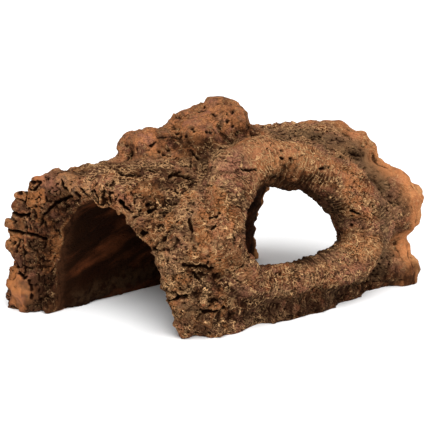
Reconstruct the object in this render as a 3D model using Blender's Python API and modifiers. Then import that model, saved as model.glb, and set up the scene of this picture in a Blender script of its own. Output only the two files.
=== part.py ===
"""A hollow log hide for a reptile tank.

It is half a log, open underneath and at both slanted ends, with a knot-hole window in its front. The whole log
is one piece of wood, so it is one closed solid. Units are metres and +Z is up. X runs along the log and the
window faces -Y. The origin ends up on the floor, at the middle of the log's box.
"""

import math

import bmesh
import bpy
from mathutils import Euler, Matrix, Vector, noise

# Driving dimensions of the log.
LEFT_END_X = -0.0930
FAR_END_X = 0.0985
LEFT_END_SLANT = -0.54
FAR_END_SLANT = -0.45
BELOW_FLOOR = 0.012

# Outer wall from the left end to the far end: share of the length, Y of the front and of the back foot,
# Y and Z of the crest, and how square the front and back shoulders are (2 is an ellipse).
OUTER_STATIONS = (
    (0.00, -0.050, 0.069, 0.006, 0.097, 1.80, 3.6),
    (0.18, -0.060, 0.068, 0.002, 0.103, 1.90, 2.9),
    (0.45, -0.060, 0.064, 0.000, 0.109, 2.10, 2.7),
    (0.80, -0.060, 0.062, -0.004, 0.115, 2.15, 2.5),
    (1.00, -0.064, 0.061, -0.008, 0.112, 2.00, 2.4),
)
# The tunnel through it, in the same columns.
TUNNEL_STATIONS = (
    (0.00, -0.045, 0.037, 0.010, 0.078, 1.75, 2.3),
    (0.25, -0.046, 0.041, 0.008, 0.088, 1.85, 2.3),
    (0.80, -0.048, 0.042, 0.002, 0.091, 2.10, 2.3),
    (1.00, -0.055, 0.046, -0.002, 0.092, 2.35, 2.3),
)
LOG_SIDES = 64
LOG_RINGS = 26

# The healed knot-hole: points of its thick rim on the front wall, each with the rim's radius there.
RIM_POINTS = (
    (-0.042, -0.056, 0.062, 0.016),
    (-0.030, -0.045, 0.086, 0.017),
    (0.000, -0.032, 0.098, 0.017),
    (0.027, -0.035, 0.096, 0.016),
    (0.054, -0.045, 0.084, 0.017),
    (0.074, -0.055, 0.066, 0.018),
    (0.081, -0.061, 0.045, 0.018),
    (0.070, -0.063, 0.030, 0.016),
    (0.036, -0.062, 0.024, 0.014),
    (0.004, -0.061, 0.023, 0.013),
    (-0.026, -0.060, 0.032, 0.014),
)
WINDOW_SINK = 0.060
WINDOW_LEAN = math.radians(62)

# Lumps that stand on the log: centre, half sizes and turn about X, Y and Z in degrees.
BURL_LUMPS = (
    ((-0.011, 0.016, 0.105), (0.048, 0.025, 0.019), (0, -22, 0)),
    ((0.013, 0.011, 0.115), (0.016, 0.021, 0.022), (0, -10, 0)),
    ((-0.050, 0.022, 0.105), (0.012, 0.014, 0.011), (0, 0, 0)),
)
FRONT_LUMPS = (
    ((-0.036, -0.046, 0.045), (0.044, 0.023, 0.052), (-14, 0, 0)),
    ((-0.056, -0.046, 0.016), (0.020, 0.014, 0.022), (0, 0, 0)),
    ((-0.079, -0.024, 0.076), (0.012, 0.009, 0.008), (0, 0, 0)),
    ((0.035, -0.058, 0.006), (0.050, 0.013, 0.014), (0, 0, 0)),
)
FAR_LUMPS = (
    ((0.116, -0.051, 0.057), (0.018, 0.021, 0.026), (-12, 0, -20)),
    ((0.120, -0.060, 0.010), (0.016, 0.010, 0.019), (0, 0, 0)),
)
PILLAR_LUMPS = (
    ((-0.122, 0.058, 0.012), (0.009, 0.013, 0.022), (0, 0, 0)),
    ((-0.109, 0.038, 0.091), (0.006, 0.007, 0.007), (0, 0, 0)),
)
BACK_LUMPS = (
    ((0.034, 0.054, 0.046), (0.027, 0.015, 0.024), (0, 12, 0)),
    ((-0.050, 0.056, 0.030), (0.034, 0.013, 0.020), (0, -8, 0)),
)
LUMPS = BURL_LUMPS + FRONT_LUMPS + FAR_LUMPS + PILLAR_LUMPS + BACK_LUMPS

# Grooves in the outside of the wood: half width, depth, and the places that each one runs through.
VALLEY_BEHIND_RIM = (
    0.0085, 0.0055,
    ((-0.018, -0.018, 0.103), (-0.043, -0.025, 0.093), (-0.060, -0.027, 0.086), (-0.080, -0.024, 0.076)),
)
FRONT_FOLD = (
    0.0065, 0.0045,
    ((-0.074, -0.045, 0.048), (-0.056, -0.058, 0.044), (-0.038, -0.064, 0.026), (-0.026, -0.063, 0.010)),
)
BURL_CREASE = (
    0.0050, 0.0035,
    ((-0.066, 0.004, 0.105), (-0.044, -0.006, 0.105), (-0.026, -0.016, 0.102), (-0.008, -0.022, 0.108)),
)
ROOF_CREVICES = (
    (0.0028, 0.0040, ((-0.092, 0.008, 0.103), (-0.070, -0.010, 0.101), (-0.049, -0.020, 0.097))),
    (0.0028, 0.0030, ((-0.089, -0.005, 0.095), (-0.069, -0.019, 0.092), (-0.052, -0.024, 0.092))),
)
END_CRACKS = (
    (0.0026, 0.0040, ((-0.125, 0.064, 0.052), (-0.119, 0.050, 0.052), (-0.112, 0.037, 0.051))),
    (0.0026, 0.0040, ((-0.123, 0.064, 0.066), (-0.119, 0.051, 0.066), (-0.113, 0.041, 0.070))),
    (0.0030, 0.0045, ((-0.126, 0.066, 0.028), (-0.120, 0.052, 0.026), (-0.117, 0.048, 0.012))),
    (0.0026, 0.0035, ((-0.118, 0.048, 0.080), (-0.117, 0.048, 0.060), (-0.119, 0.052, 0.030))),
    (0.0028, 0.0040, ((-0.070, -0.047, 0.025), (-0.060, -0.057, 0.024))),
)
SADDLE = (0.0120, 0.0040, ((0.040, -0.026, 0.112), (0.050, 0.006, 0.112), (0.056, 0.040, 0.104)))
BACK_FURROWS = (
    (0.0045, 0.0035, ((-0.100, 0.064, 0.078), (-0.040, 0.066, 0.064), (0.000, 0.066, 0.066))),
    (0.0045, 0.0035, ((0.000, 0.066, 0.066), (0.060, 0.060, 0.082))),
    (0.0040, 0.0030, ((-0.020, 0.068, 0.020), (0.010, 0.066, 0.030), (0.066, 0.064, 0.022))),
)
GROOVES = (VALLEY_BEHIND_RIM, FRONT_FOLD, BURL_CREASE, SADDLE) + ROOF_CREVICES + END_CRACKS + BACK_FURROWS

# Relief of the bark: size of the lumps, how far they stand out, and how much of that the tunnel's wall has.
BROAD_SIZE, BROAD_RISE = 0.022, 0.0036
GRAIN_SIZE, GRAIN_STRETCH, GRAIN_RISE = 0.0090, 2.6, 0.0024
INSIDE_RELIEF = 0.35
# The left end's bark is cracked into chunks, which fade out along the log.
CHUNK_SIZE, CHUNK_CRACK, CHUNK_DEPTH = 0.014, 0.20, 0.0042
CHUNKS_FADE_FROM, CHUNKS_FADE_TO = 0.012, 0.036
# Height of the line through the tunnel that the walls stand round.
AXIS_HEIGHT = 0.030

# The far edge swings out and in down its front, and is scalloped all round.
FAR_SWING, FAR_SWING_PITCH, FAR_SWING_TOP = 0.0026, 0.062, 0.058
SCALLOP_DEPTH, SCALLOP_PITCH = 0.0020, 0.011
EDGE_REACH = 0.025

MELT_VOXEL = 0.0026
HEAL_VOXEL = 0.0020
TRIANGLES_KEPT = 9400
INSIDE_THINNING, OUTSIDE_THINNING = 0.6, 0.3
FLOOR_REACH = 0.3

WOOD_COLOUR = (0.155, 0.065, 0.032, 1.0)
WOOD_ROUGHNESS = 0.85


def clear_scene():
    for obj in list(bpy.data.objects):
        bpy.data.objects.remove(obj)


def collection_named(name):
    made = bpy.data.collections.new(name)
    bpy.context.scene.collection.children.link(made)
    return made


def smooth_step(t):
    t = min(max(t, 0.0), 1.0)
    return t * t * (3 - 2 * t)


def station_at(stations, share):
    """The row of a station table at any share of the length, eased between its neighbours."""
    if share <= stations[0][0]:
        return stations[0][1:]
    for low, high in zip(stations, stations[1:]):
        if share <= high[0]:
            t = smooth_step((share - low[0]) / (high[0] - low[0]))
            return tuple(a + (b - a) * t for a, b in zip(low[1:], high[1:]))
    return stations[-1][1:]


def left_end_at(y):
    """X of the left end's slanted plane."""
    return LEFT_END_X + LEFT_END_SLANT * y


def far_end_at(y):
    """X of the far end's slanted plane."""
    return FAR_END_X + FAR_END_SLANT * y


def along(share, y):
    """X at a share of the log's length, between its two slanted ends."""
    return left_end_at(y) + (far_end_at(y) - left_end_at(y)) * share


def arch_point(stations, share, angle):
    """A point of a half-log section: angle 0 is the front foot, half a turn the back foot."""
    front, back, crest_y, crest_z, front_power, back_power = station_at(stations, share)
    side = -math.cos(angle)
    power = front_power if side < 0 else back_power
    reach = abs(side) ** (2 / power)
    half = (crest_y - front) if side < 0 else (back - crest_y)
    y = crest_y + math.copysign(reach * half, side)
    rise = math.sin(angle)
    z = crest_z * rise ** (2 / power) if rise > 0 else -BELOW_FLOOR
    return Vector((along(share, y), y, z))


def drawn_log(name, stations, start, stop, depth_below):
    """A cylinder along X with ring cuts, each ring drawn to the section of the log there."""
    bm = bmesh.new()
    along_x = Matrix.Rotation(math.radians(90), 4, "Y")
    bmesh.ops.create_cone(
        bm, cap_ends=True, segments=LOG_SIDES, radius1=1, radius2=1, depth=1, matrix=along_x
    )
    for ring in range(1, LOG_RINGS):
        bmesh.ops.bisect_plane(
            bm,
            geom=bm.verts[:] + bm.edges[:] + bm.faces[:],
            plane_co=(ring / LOG_RINGS - 0.5, 0, 0),
            plane_no=(1, 0, 0),
        )
    caps = [face for face in bm.faces if len(face.verts) > 4]
    bmesh.ops.poke(bm, faces=caps)
    for vert in bm.verts:
        share = start + (stop - start) * (vert.co.x + 0.5)
        angle = math.atan2(vert.co.z, -vert.co.y)
        radius = math.hypot(vert.co.y, vert.co.z)
        point = arch_point(stations, share, angle)
        if angle < -1e-6:
            point.z = -depth_below
        if radius < 0.5:
            point.y = station_at(stations, share)[2]
            point.z = 0.3 * station_at(stations, share)[3]
            point.x = along(share, point.y)
        vert.co = point
    bmesh.ops.recalc_face_normals(bm, faces=bm.faces[:])
    return object_from(bm, name)


def object_from(bm, name):
    mesh = bpy.data.meshes.new(name)
    bm.to_mesh(mesh)
    bm.free()
    return bpy.data.objects.new(name, mesh)


def lump(name, centre, half, turn):
    """A stretched ball."""
    bm = bmesh.new()
    bmesh.ops.create_uvsphere(bm, u_segments=28, v_segments=18, radius=1)
    ball = object_from(bm, name)
    euler = Euler([math.radians(a) for a in turn])
    size = Matrix.Diagonal((*half, 1))
    ball.data.transform(Matrix.Translation(centre) @ euler.to_matrix().to_4x4() @ size)
    return ball


def add_loop(data, points):
    """A smooth closed spline through (place, radius) points."""
    spline = data.splines.new("BEZIER")
    spline.bezier_points.add(len(points) - 1)
    for bezier, (place, radius) in zip(spline.bezier_points, points):
        bezier.co = place
        bezier.radius = radius
        bezier.handle_left_type = bezier.handle_right_type = "AUTO"
    spline.use_cyclic_u = True


def rim_curve():
    """The closed, thick rope of wood round the knot-hole."""
    data = bpy.data.curves.new("rim", "CURVE")
    data.dimensions = "3D"
    data.bevel_depth = 1.0
    data.bevel_resolution = 5
    data.resolution_u = 6
    data.render_resolution_u = 0
    add_loop(data, [(Vector(point[:3]), point[3]) for point in RIM_POINTS])
    return bpy.data.objects.new("rim", data)


def window_cutter():
    """A block with the outline of the rim's centre line, pushed square through the leaning front wall."""
    data = bpy.data.curves.new("window", "CURVE")
    data.dimensions = "2D"
    data.fill_mode = "BOTH"
    data.extrude = WINDOW_SINK
    centre = sum((Vector(p[:3]) for p in RIM_POINTS), Vector()) / len(RIM_POINTS)
    lean = Matrix.Translation(centre) @ Matrix.Rotation(WINDOW_LEAN, 4, "X")
    flat = lean.inverted()
    places = [flat @ Vector(point[:3]) for point in RIM_POINTS]
    add_loop(data, [(Vector((place.x, place.y, 0)), 1.0) for place in places])
    obj = bpy.data.objects.new("window", data)
    obj.matrix_world = lean
    return obj


def made_mesh(curve_object, collection):
    """A mesh object from a curve object, welded where its caps meet its sides."""
    collection.objects.link(curve_object)
    bpy.context.view_layer.update()
    graph = bpy.context.evaluated_depsgraph_get()
    mesh = bpy.data.meshes.new_from_object(curve_object.evaluated_get(graph))
    mesh.transform(curve_object.matrix_world)
    name = curve_object.name
    bpy.data.objects.remove(curve_object)
    bm = bmesh.new()
    bm.from_mesh(mesh)
    bmesh.ops.remove_doubles(bm, verts=bm.verts[:], dist=1e-5)
    bmesh.ops.recalc_face_normals(bm, faces=bm.faces[:])
    made = object_from(bm, name)
    collection.objects.link(made)
    return made


def hide_helper(obj):
    obj.hide_render = True
    obj.display_type = "WIRE"


def boolean(obj, other, operation):
    step = obj.modifiers.new(f"{operation.lower()} {other.name}", "BOOLEAN")
    step.operation = operation
    step.object = other


def remesh(obj, name, voxel):
    step = obj.modifiers.new(name, "REMESH")
    step.mode = "VOXEL"
    step.voxel_size = voxel


def soften(obj, name, factor, iterations):
    step = obj.modifiers.new(name, "SMOOTH")
    step.factor = factor
    step.iterations = iterations


def melted_form(parts, helpers):
    """The log, hollowed and pierced, with its rim and lumps melted on: one skin of even faces."""
    log = drawn_log("log", OUTER_STATIONS, 0.0, 1.0, BELOW_FLOOR)
    parts.objects.link(log)
    tunnel = drawn_log("tunnel", TUNNEL_STATIONS, -0.25, 1.25, 2 * BELOW_FLOOR)
    helpers.objects.link(tunnel)
    hide_helper(tunnel)
    for index, (centre, half, turn) in enumerate(LUMPS):
        ball = lump(f"lump_{index}", Vector(centre), half, turn)
        helpers.objects.link(ball)
        hide_helper(ball)
        boolean(log, ball, "UNION")
    boolean(log, tunnel, "DIFFERENCE")
    window = made_mesh(window_cutter(), helpers)
    hide_helper(window)
    boolean(log, window, "DIFFERENCE")
    rim = made_mesh(rim_curve(), helpers)
    hide_helper(rim)
    boolean(log, rim, "UNION")
    remesh(log, "melt", MELT_VOXEL)
    soften(log, "soften joints", 0.5, 8)
    return log


def realise(obj):
    """Gives the object a mesh with its modifiers applied."""
    bpy.context.view_layer.update()
    graph = bpy.context.evaluated_depsgraph_get()
    mesh = bpy.data.meshes.new_from_object(obj.evaluated_get(graph))
    obj.modifiers.clear()
    obj.data = mesh


def distance_to_route(point, route):
    """Distance from a point to a chain of straight runs."""
    nearest = math.inf
    for start, stop in zip(route, route[1:]):
        start, run = Vector(start), Vector(stop) - Vector(start)
        t = min(max((point - start).dot(run) / run.length_squared, 0.0), 1.0)
        nearest = min(nearest, (point - start - run * t).length)
    return nearest


def outwardness(point, normal):
    """From 0 on the tunnel's wall to 1 on the outside and the slanted ends."""
    spoke = Vector((0, point.y, max(point.z, 0.0) - AXIS_HEIGHT))
    facing = normal.dot(spoke.normalized()) + 0.7 * abs(normal.x)
    return smooth_step((facing + 0.1) / 0.6)


def bark_height(point, normal):
    """How far the wood stands out at a point of the smooth form."""
    outside = outwardness(point, normal)
    from_left = point.x - left_end_at(point.y)
    fade = (from_left - CHUNKS_FADE_FROM) / (CHUNKS_FADE_TO - CHUNKS_FADE_FROM)
    chunky = outside * (1 - smooth_step(fade))
    relief = INSIDE_RELIEF + (1 - INSIDE_RELIEF) * outside
    height = BROAD_RISE * noise.fractal(point / BROAD_SIZE, 1.0, 2.0, 2) * relief
    stretched = Vector((point.x / GRAIN_STRETCH, point.y, point.z)) / GRAIN_SIZE
    height += GRAIN_RISE * noise.fractal(stretched, 0.9, 2.0, 2) * relief
    near, next_near = noise.voronoi(point / CHUNK_SIZE)[0][:2]
    height -= CHUNK_DEPTH * math.exp(-(((next_near - near) / CHUNK_CRACK) ** 2)) * chunky
    for width, depth, route in GROOVES:
        away = distance_to_route(point, route) / width
        if away < 3:
            height -= depth * math.exp(-away * away) * outside
    return height


def far_edge_shift(point):
    """How far the far edge stands out along the log."""
    edge = 1 - smooth_step((far_end_at(point.y) - point.x) / EDGE_REACH)
    swing = FAR_SWING * math.cos(math.tau * (point.z - FAR_SWING_TOP) / FAR_SWING_PITCH)
    round_arch = AXIS_HEIGHT * math.atan2(point.z - AXIS_HEIGHT, point.y) + point.z
    scallop = SCALLOP_DEPTH * math.cos(math.tau * round_arch / SCALLOP_PITCH)
    return edge * (swing + scallop)


def sculpt(mesh):
    """Raises and cuts the skin of the smooth form, and scallops the edge of its far end."""
    normals = [vert.normal.copy() for vert in mesh.vertices]
    for vert, normal in zip(mesh.vertices, normals):
        point = vert.co.copy()
        shift = Vector((far_edge_shift(point), 0, 0))
        vert.co = point + normal * bark_height(point, normal) + shift
    mesh.update()


def thin_faces(obj):
    """Keeps the budget of triangles, with the larger ones on the tunnel's plain wall."""
    plain = obj.vertex_groups.new(name="plain wood")
    for vert in obj.data.vertices:
        weight = 1 - (1 - OUTSIDE_THINNING) * outwardness(vert.co, vert.normal)
        plain.add([vert.index], weight, "REPLACE")
    step = obj.modifiers.new("fewer faces", "DECIMATE")
    step.vertex_group = plain.name
    step.vertex_group_factor = INSIDE_THINNING
    triangles = sum(len(face.vertices) - 2 for face in obj.data.polygons)
    step.ratio = TRIANGLES_KEPT / triangles


def floor_cutter(helpers):
    """A slab under the floor, which leaves the log flat feet."""
    bm = bmesh.new()
    bmesh.ops.create_cube(bm, size=1)
    floor = object_from(bm, "floor")
    slab = Matrix.Diagonal((2 * FLOOR_REACH, 2 * FLOOR_REACH, FLOOR_REACH, 1))
    floor.data.transform(Matrix.Translation((0, 0, -FLOOR_REACH / 2)) @ slab)
    helpers.objects.link(floor)
    hide_helper(floor)
    return floor


def centre_on_floor(log, helpers):
    """Moves everything so that the origin is at the middle of the log's box, on the floor."""
    low = Vector([min(vert.co[axis] for vert in log.data.vertices) for axis in range(3)])
    high = Vector([max(vert.co[axis] for vert in log.data.vertices) for axis in range(3)])
    middle = (low + high) / 2
    move = Matrix.Translation((-middle.x, -middle.y, -low.z))
    for obj in (log, *helpers.objects):
        obj.data.transform(move)


def wood():
    """Reddish brown bark."""
    material = bpy.data.materials.new("weathered bark")
    material.use_nodes = True
    shader = material.node_tree.nodes["Principled BSDF"]
    shader.inputs["Base Color"].default_value = WOOD_COLOUR
    shader.inputs["Roughness"].default_value = WOOD_ROUGHNESS
    shader.inputs["Metallic"].default_value = 0.0
    return material


def build():
    clear_scene()
    parts = collection_named("hollow log hide")
    helpers = collection_named("helpers")
    log = melted_form(parts, helpers)
    log.name = "hollow_log"
    realise(log)
    sculpt(log.data)
    remesh(log, "heal folds", HEAL_VOXEL)
    realise(log)
    thin_faces(log)
    realise(log)
    boolean(log, floor_cutter(helpers), "DIFFERENCE")
    realise(log)
    centre_on_floor(log, helpers)
    log.data.shade_smooth()
    log.data.materials.append(wood())


build()
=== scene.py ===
# %% [markdown]
# # A hollow log hide
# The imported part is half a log, open underneath and at both slanted ends, with a knot-hole in its front wall
# and a burl on its roof. It is one grown piece, so the whole lesson makes one mesh: a fine skin of bark that
# stands for the plain solid. The solid has the right lumps, ledges and folds. What is missing is everything
# smaller than a fingertip: flakes, cracks, pits, and the play of tan edges over dark hollows.

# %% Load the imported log
import math

import bpy
import numpy as np
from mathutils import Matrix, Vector, noise


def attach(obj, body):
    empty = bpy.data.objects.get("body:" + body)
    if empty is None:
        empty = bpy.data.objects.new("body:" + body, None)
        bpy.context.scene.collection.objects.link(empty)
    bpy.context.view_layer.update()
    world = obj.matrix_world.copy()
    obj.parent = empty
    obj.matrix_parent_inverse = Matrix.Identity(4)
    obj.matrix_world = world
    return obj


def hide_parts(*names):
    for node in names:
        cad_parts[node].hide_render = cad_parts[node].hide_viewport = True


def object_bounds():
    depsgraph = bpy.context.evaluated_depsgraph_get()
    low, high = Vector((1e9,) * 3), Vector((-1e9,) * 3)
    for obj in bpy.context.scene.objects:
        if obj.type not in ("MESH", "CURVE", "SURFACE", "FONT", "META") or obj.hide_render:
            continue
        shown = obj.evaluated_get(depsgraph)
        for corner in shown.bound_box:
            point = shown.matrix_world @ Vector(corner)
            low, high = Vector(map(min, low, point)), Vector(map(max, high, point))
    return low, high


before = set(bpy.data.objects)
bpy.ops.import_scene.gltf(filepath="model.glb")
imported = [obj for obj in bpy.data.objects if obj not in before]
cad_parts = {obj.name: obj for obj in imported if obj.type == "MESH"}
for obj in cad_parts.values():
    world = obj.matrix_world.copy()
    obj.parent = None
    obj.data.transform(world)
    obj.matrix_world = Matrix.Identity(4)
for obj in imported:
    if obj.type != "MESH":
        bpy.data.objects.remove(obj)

MM = 0.001
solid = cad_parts["hollow_log"]
cad_low, cad_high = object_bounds()
print("packed log, mm:", [round(side / MM, 1) for side in cad_high - cad_low])

# %% [markdown]
# The camera comes first, because every later step is judged through it. The log is seen from its left front
# and a little above, so that the left arch, the window and the roof all show. A long lens keeps the far end
# from shrinking.

# %% Camera
AZIMUTH, ELEVATION = math.radians(-38), math.radians(15)
DISTANCE = 0.737
LOOKS_AT = Vector((0.0234, 0.0408, 0.045))
LENS_MM, SENSOR_MM = 85, 36

bpy.ops.object.select_all(action="DESELECT")
towards_camera = Vector((
    math.sin(AZIMUTH) * math.cos(ELEVATION),
    -math.cos(AZIMUTH) * math.cos(ELEVATION),
    math.sin(ELEVATION),
))
bpy.ops.object.camera_add(
    location=LOOKS_AT + DISTANCE * towards_camera,
    rotation=(-towards_camera).to_track_quat("-Z", "Y").to_euler(),
)
camera = bpy.context.object
camera.data.lens = LENS_MM
camera.data.sensor_width = SENSOR_MM
camera.data.clip_start = 0.01
bpy.context.scene.camera = camera
print("camera at", [round(c, 3) for c in camera.location])

# %% [markdown]
# A node of the frame is never changed, so the skin starts as a copy of its mesh. The copy is a heap of loose
# triangles, and merging by distance joins them. One round of Subdivision Surface rounds the flat facets off.
# A voxel Remesh then turns them into small even faces, which is what sculpting needs, and a few rounds of
# Smooth take away the stair-steps that voxels leave.

# %% A copy with an even skin
SKIN_VOXEL = 0.75 * MM
MERGE_DISTANCE = 0.01 * MM


def only(obj):
    """Selects this object alone and makes it active."""
    bpy.ops.object.select_all(action="DESELECT")
    obj.select_set(True)
    bpy.context.view_layer.objects.active = obj


def apply(obj, kind, **settings):
    """Adds a modifier with these settings and applies it."""
    modifier = obj.modifiers.new(kind.lower(), kind)
    for name, value in settings.items():
        setattr(modifier, name, value)
    only(obj)
    bpy.ops.object.modifier_apply(modifier=modifier.name)


log = bpy.data.objects.new("bark_log", solid.data.copy())
bpy.context.scene.collection.objects.link(log)
log.data.materials.clear()
only(log)
bpy.ops.object.mode_set(mode="EDIT")
bpy.ops.mesh.select_all(action="SELECT")
bpy.ops.mesh.remove_doubles(threshold=MERGE_DISTANCE)
bpy.ops.object.mode_set(mode="OBJECT")
apply(log, "SUBSURF", levels=1, render_levels=1)
apply(log, "REMESH", mode="VOXEL", voxel_size=SKIN_VOXEL)
apply(log, "SMOOTH", factor=0.5, iterations=6)
print("even skin:", len(log.data.vertices), "vertices")

# %% [markdown]
# Every mask below comes from where a point is. The frame's origin is at the middle of the log's box, while
# the log was drawn round its tunnel, so all places are given in millimetres of the drawing, and the vertices
# are turned into the same numbers once. A route is a chain of such places.

# %% Places and distances
DRAWING_ORIGIN = np.array((-2.65, 3.75, 0.0)) * MM
LEFT_END_X, FAR_END_X = -93.0, 98.5
LEFT_END_SLANT, FAR_END_SLANT = -0.54, -0.45
TUNNEL_AXIS_HEIGHT = 30.0


def read(mesh, name):
    """The vertices' places (co) or normals as an array of rows."""
    flat = np.zeros(len(mesh.vertices) * 3)
    mesh.vertices.foreach_get(name, flat)
    return flat.reshape(-1, 3)


points, normals = read(log.data, "co"), read(log.data, "normal")
place = (points - DRAWING_ORIGIN) / MM
x, y, z = place.T


def ease(values, low, high):
    """0 below low, 1 above high and a smooth step between, for an array."""
    t = np.clip((values - low) / (high - low), 0, 1)
    return t * t * (3 - 2 * t)


def nearest_on(route):
    """The skin's distance from a route, and how far along the route its nearest place is."""
    best = np.full(len(place), np.inf)
    reach = np.zeros(len(place))
    gone = 0.0
    for start, stop in zip(route, route[1:]):
        start, run = np.array(start), np.array(stop) - np.array(start)
        length = np.linalg.norm(run)
        t = np.clip((place - start) @ run / length**2, 0, 1)
        away = np.linalg.norm(place - start - t[:, None] * run, axis=1)
        reach = np.where(away < best, gone + t * length, reach)
        best = np.minimum(best, away)
        gone += length
    return best, reach


def nearest_spot(spots):
    """The skin's distance from the nearest of some single places."""
    return np.min([np.linalg.norm(place - spot, axis=1) for spot in np.array(spots, float)], axis=0)


print("drawing, mm:", place.min(axis=0).round(1), "to", place.max(axis=0).round(1))

# %% [markdown]
# Bark relief is noise with a grain. `mathutils.noise` samples it point by point. Wood splits along its
# length, so the sampling space is squeezed along the grain, and a slow wobble is added first, because a
# pattern on straight coordinates looks like wallpaper. The wobble is a turbulence vector. Blender takes its
# offsets from the clock unless a seed is set, so the seed comes before any noise.

# %% Relief helpers
HALF = Vector((0.5, 0.5, 0.5))
WOBBLE_SEED = 3

noise.seed_set(WOBBLE_SEED)


def grain_space(size, stretch=1.0, heading=(1, 0, 0), wobble=0.0, seed=0.0):
    """Points scaled so that a feature is about 1 across, and longer by stretch along the heading."""
    along = np.array(Vector(heading).normalized())
    spots = place + seed
    if wobble:
        shifts = [noise.turbulence_vector(Vector(spot) / (1.8 * size), 3, False) for spot in spots]
        spots = spots + wobble * np.array(shifts)
    lengthwise = spots @ along
    spots = spots - np.outer(lengthwise * (1 - 1 / stretch), along)
    return [Vector(spot) for spot in spots / size]


def hills(size, octaves=3, **space):
    """Soft bumps, about -1 to 1."""
    return np.array([noise.fractal(spot, 0.9, 2.0, octaves) for spot in grain_space(size, **space)])


def crests(size, octaves=3, **space):
    """Sharp crooked crests between hollows, 0 to about 1."""
    found = [noise.ridged_multi_fractal(s, 0.9, 2.1, octaves, 1.0, 2.0) for s in grain_space(size, **space)]
    return np.array(found) / np.percentile(found, 99)


def plates(size, metric="DISTANCE", **space):
    """Cells of about this size: mm to the border, a tilt of about -1 to 1, and a level of 0 to 1."""
    rows = []
    for spot in grain_space(size, **space):
        distances, seeds = noise.voronoi(spot, distance_metric=metric)
        key = noise.cell_vector(7.3 * seeds[0] + 11 * HALF)
        rows.append((distances[1] - distances[0], (spot - seeds[0]).dot(key - HALF), key.x))
    border, tilt, level = np.array(rows).T
    return 0.5 * size * border, 4 * tilt, level


def cracks(border, half_width):
    """1 in a crack along the borders and 0 on the plates, with steep sides."""
    return 1 - ease(border, 0.2 * half_width, half_width)


def creases(values, width):
    """1 on the thin crooked line where soft bumps change sign, and 0 away from it."""
    return 1 - ease(abs(values), 0.3 * width, width)


def terraces(values, rise):
    """Flat treads with steep ragged risers between them, as bark has where it comes off in sheets."""
    steps = values / rise
    return rise * (np.floor(steps) + ease(steps % 1, 0.72, 1.0))


ragged = 0.8 * hills(3.0, octaves=2, seed=200)
slow = hills(9.0, octaves=2, seed=35)
print("soft bumps between", slow.min().round(2), "and", slow.max().round(2))

# %% [markdown]
# Some patterns are too crisp as they come. Smoothing them over the mesh needs to know which vertices are
# neighbours, and the edges say so: adding up both ends of every edge gives each vertex the sum round it.

# %% Averages over the mesh
edge_ends = np.zeros(len(log.data.edges) * 2, dtype=np.int64)
log.data.edges.foreach_get("vertices", edge_ends)
first, second = edge_ends.reshape(-1, 2).T
neighbours = np.bincount(edge_ends, minlength=len(points))


def averaged(values, rounds):
    """Values smoothed over the mesh: each round takes the mean of a vertex and its neighbours."""
    for _ in range(rounds):
        columns = []
        for column in values.T.reshape(-1, len(points)):
            total = column + np.bincount(first, column[second], len(points))
            total += np.bincount(second, column[first], len(points))
            columns.append(total / (neighbours + 1))
        values = np.array(columns).T.reshape(values.shape)
    return values


print("neighbours of a vertex:", neighbours.mean().round(2))

# %% [markdown]
# The rim of the knot-hole is a closed rope of wood. Its route is known from the part, and it gives a mask for
# the rim, a coordinate along the rope for its growth lines, and a way to count the hole's edge as bark.

# %% The outside and the tunnel's wall
RIM = (
    (-42, -56, 62), (-30, -45, 86), (0, -32, 98), (27, -35, 96), (54, -45, 84), (74, -55, 66), (81, -61, 45),
    (70, -63, 30), (36, -62, 24), (4, -61, 23), (-26, -60, 32), (-42, -56, 62),
)
RIM_RADIUS = 16.0

from_left = x - LEFT_END_X - LEFT_END_SLANT * y
from_far = FAR_END_X + FAR_END_SLANT * y - x
rim_away, rim_along = nearest_on(RIM)
spoke = np.stack([np.zeros(len(x)), y, z - TUNNEL_AXIS_HEIGHT], axis=1)
spoke /= np.linalg.norm(spoke, axis=1)[:, None]
facing = (normals * spoke).sum(axis=1) + 0.7 * abs(normals[:, 0])
outside = np.maximum.reduce([
    ease(facing, -0.25, 0.35),
    1 - ease(rim_away, 1.05 * RIM_RADIUS, 1.5 * RIM_RADIUS),
    1 - ease(from_left + 2 * slow, 4, 11),
    1 - ease(from_far + 2 * slow, 3, 8),
])
print(f"outside: {outside.mean():.0%} of the skin")

# %% [markdown]
# Bark differs from place to place: ropy on the rim, blocky at the left end, flaky on the roof, and smooth on
# the far flare and on one foot. Each kind gets a mask, 1 in its zone and 0 away from it, with a border that
# noise makes ragged. Masks can be multiplied, so that one zone leaves room for another.

# %% Zones of the bark
SMOOTH_FOOT = ((-127, 54, 20), (-127, 54, 8), (-123, 50, 14))
SMOOTH_NUB = ((-114, 42, 92),)
BURL_CORE = ((-56, 22, 106), (-25, 18, 104), (18, 12, 116))


def patch(centres, radius):
    """1 near any of the centres, with a ragged edge."""
    return 1 - ease(nearest_spot(centres) + 3 * ragged, 0.6 * radius, radius)


def band(route, near, far):
    """1 within a near distance of a route and 0 beyond a far one, with a ragged edge."""
    return 1 - ease(nearest_on(route)[0] + 3 * ragged, near, far)


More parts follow.
